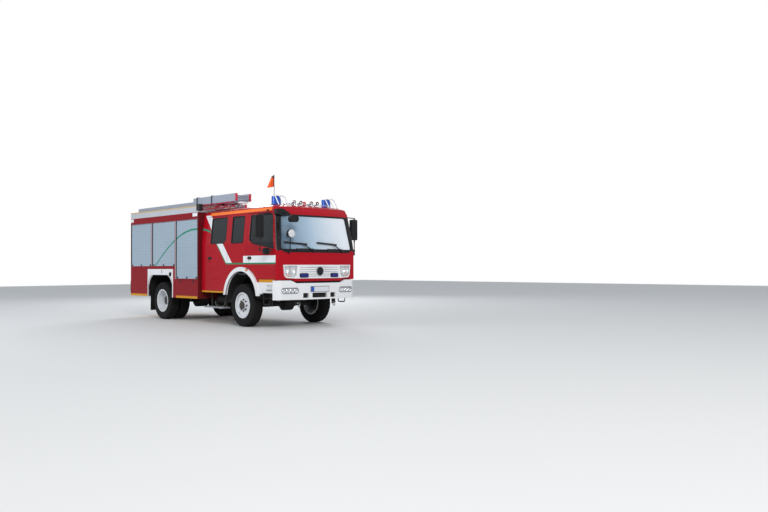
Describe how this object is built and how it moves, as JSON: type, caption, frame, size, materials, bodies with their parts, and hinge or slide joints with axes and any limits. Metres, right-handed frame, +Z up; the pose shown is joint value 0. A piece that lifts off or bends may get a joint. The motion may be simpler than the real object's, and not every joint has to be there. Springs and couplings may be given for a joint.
{
  "type": "fire engine",
  "caption": "Crew-cab pumper fire engine on an all-wheel-drive truck chassis, with hinged doors, roller-shutter equipment body, roof ladders and steered front wheels.",
  "frame": {"origin": "on the ground, at the middle of the whole length and width", "axes": "-Y points forwards, -X to the vehicle's right side, +Z up"},
  "size_m": [3, 7.42, 3.6],
  "materials": {
    "red_paint": "gloss",
    "white_paint": "gloss",
    "bare_aluminium": "satin",
    "shutter_aluminium": "anodised",
    "ladder_aluminium": "satin",
    "chassis_black": "satin",
    "engine_grey": "matt",
    "tyre": "matt",
    "rim_grey": "satin",
    "black_plastic": "grained",
    "window_glass": "clear",
    "screen_glass": "clear",
    "clear_lens": "clear",
    "blue_lens": "clear",
    "red_lens": "clear",
    "seat_fabric": "woven",
    "chrome": "polished"
  },
  "bodies": {
    "chassis": {"chassis_rails": "chassis_black", "cross_members": "chassis_black", "drivetrain": "engine_grey", "front_axle": "chassis_black", "rear_axle": "chassis_black", "chassis_tanks": "chassis_black", "cab_front": "red_paint", "cab_sides": "red_paint", "cab_rear_wall": "red_paint", "cab_roof": "red_paint", "cab_floor": "black_plastic", "windscreen": "screen_glass", "middle_windows": "window_glass", "kerb_mirror": "black_plastic", "grille_panel": "white_paint", "bumper": "white_paint", "front_lamps": "clear_lens", "front_arches": "white_paint", "crew_steps": "bare_aluminium", "dashboard": "black_plastic", "seats": "seat_fabric", "blue_lamps": "blue_lens", "horns_and_guards": "chrome", "body_front_wall": "red_paint", "body_rear_wall": "red_paint", "body_sides": "red_paint", "body_deck": "bare_aluminium", "body_floor": "bare_aluminium", "roof_gallery": "bare_aluminium", "roller_shutters": "shutter_aluminium", "rear_arches": "white_paint", "rear_lamps": "red_lens", "climb_ladder": "bare_aluminium", "roof_ladders": "ladder_aluminium", "ladder_rack": "red_paint", "roof_locker": "bare_aluminium", "flag_mast": "black_plastic"},
    "steering_right": {"knuckle_right": "chassis_black"},
    "front_wheel_right": {"front_tyre_right": "tyre", "front_rim_right": "rim_grey"},
    "rear_wheels_right": {"rear_tyres_right": "tyre", "rear_rims_right": "rim_grey"},
    "front_door_body_right": {"front_door_right": "red_paint", "front_door_glass_right": "window_glass", "mirrors_right": "black_plastic"},
    "crew_door_body_right": {"crew_door_right": "red_paint", "crew_door_glass_right": "window_glass"},
    "flap_body_right": {"locker_flap_right": "red_paint"},
    "steering_left": {"knuckle_left": "chassis_black"},
    "front_wheel_left": {"front_tyre_left": "tyre", "front_rim_left": "rim_grey"},
    "rear_wheels_left": {"rear_tyres_left": "tyre", "rear_rims_left": "rim_grey"},
    "front_door_body_left": {"front_door_left": "red_paint", "front_door_glass_left": "window_glass", "mirrors_left": "black_plastic"},
    "crew_door_body_left": {"crew_door_left": "red_paint", "crew_door_glass_left": "window_glass"},
    "flap_body_left": {"locker_flap_left": "red_paint"}
  },
  "joints": [
    {"name": "steer_right", "type": "hinge", "parent": "chassis", "child": "steering_right", "pos_m": [-0.88, -2.01, 0.505], "axis": [0, 0, 1], "range_deg": [-36, 36]},
    {"name": "front_roll_right", "type": "hinge", "parent": "steering_right", "child": "front_wheel_right", "pos_m": [-1.012, -2.01, 0.505], "axis": [1, 0, 0], "continuous": true},
    {"name": "rear_roll_right", "type": "hinge", "parent": "chassis", "child": "rear_wheels_right", "pos_m": [-0.895, 1.85, 0.505], "axis": [1, 0, 0], "continuous": true},
    {"name": "front_door_hinge_right", "type": "hinge", "parent": "chassis", "child": "front_door_body_right", "pos_m": [-1.145, -3.325, 1.445], "axis": [0, 0, 1], "range_deg": [0, 68]},
    {"name": "crew_door_hinge_right", "type": "hinge", "parent": "chassis", "child": "crew_door_body_right", "pos_m": [-1.145, -1.345, 1.555], "axis": [0, 0, 1], "range_deg": [0, 80]},
    {"name": "flap_hinge_right", "type": "hinge", "parent": "chassis", "child": "flap_body_right", "pos_m": [-1.25, 0.41, 0.676], "axis": [0, -1, 0], "range_deg": [0, 90]},
    {"name": "steer_left", "type": "hinge", "parent": "chassis", "child": "steering_left", "pos_m": [0.88, -2.01, 0.505], "axis": [0, 0, 1], "range_deg": [-36, 36]},
    {"name": "front_roll_left", "type": "hinge", "parent": "steering_left", "child": "front_wheel_left", "pos_m": [1.012, -2.01, 0.505], "axis": [1, 0, 0], "continuous": true},
    {"name": "rear_roll_left", "type": "hinge", "parent": "chassis", "child": "rear_wheels_left", "pos_m": [0.895, 1.85, 0.505], "axis": [1, 0, 0], "continuous": true},
    {"name": "front_door_hinge_left", "type": "hinge", "parent": "chassis", "child": "front_door_body_left", "pos_m": [1.145, -3.325, 1.445], "axis": [0, 0, -1], "range_deg": [0, 68]},
    {"name": "crew_door_hinge_left", "type": "hinge", "parent": "chassis", "child": "crew_door_body_left", "pos_m": [1.145, -1.345, 1.555], "axis": [0, 0, -1], "range_deg": [0, 80]},
    {"name": "flap_hinge_left", "type": "hinge", "parent": "chassis", "child": "flap_body_left", "pos_m": [1.25, 0.41, 0.676], "axis": [0, 1, 0], "range_deg": [0, 90]}
  ],
  "couplings": [
    {"joint": "steer_right", "follows": "steer_left", "ratio": 1}
  ]
}
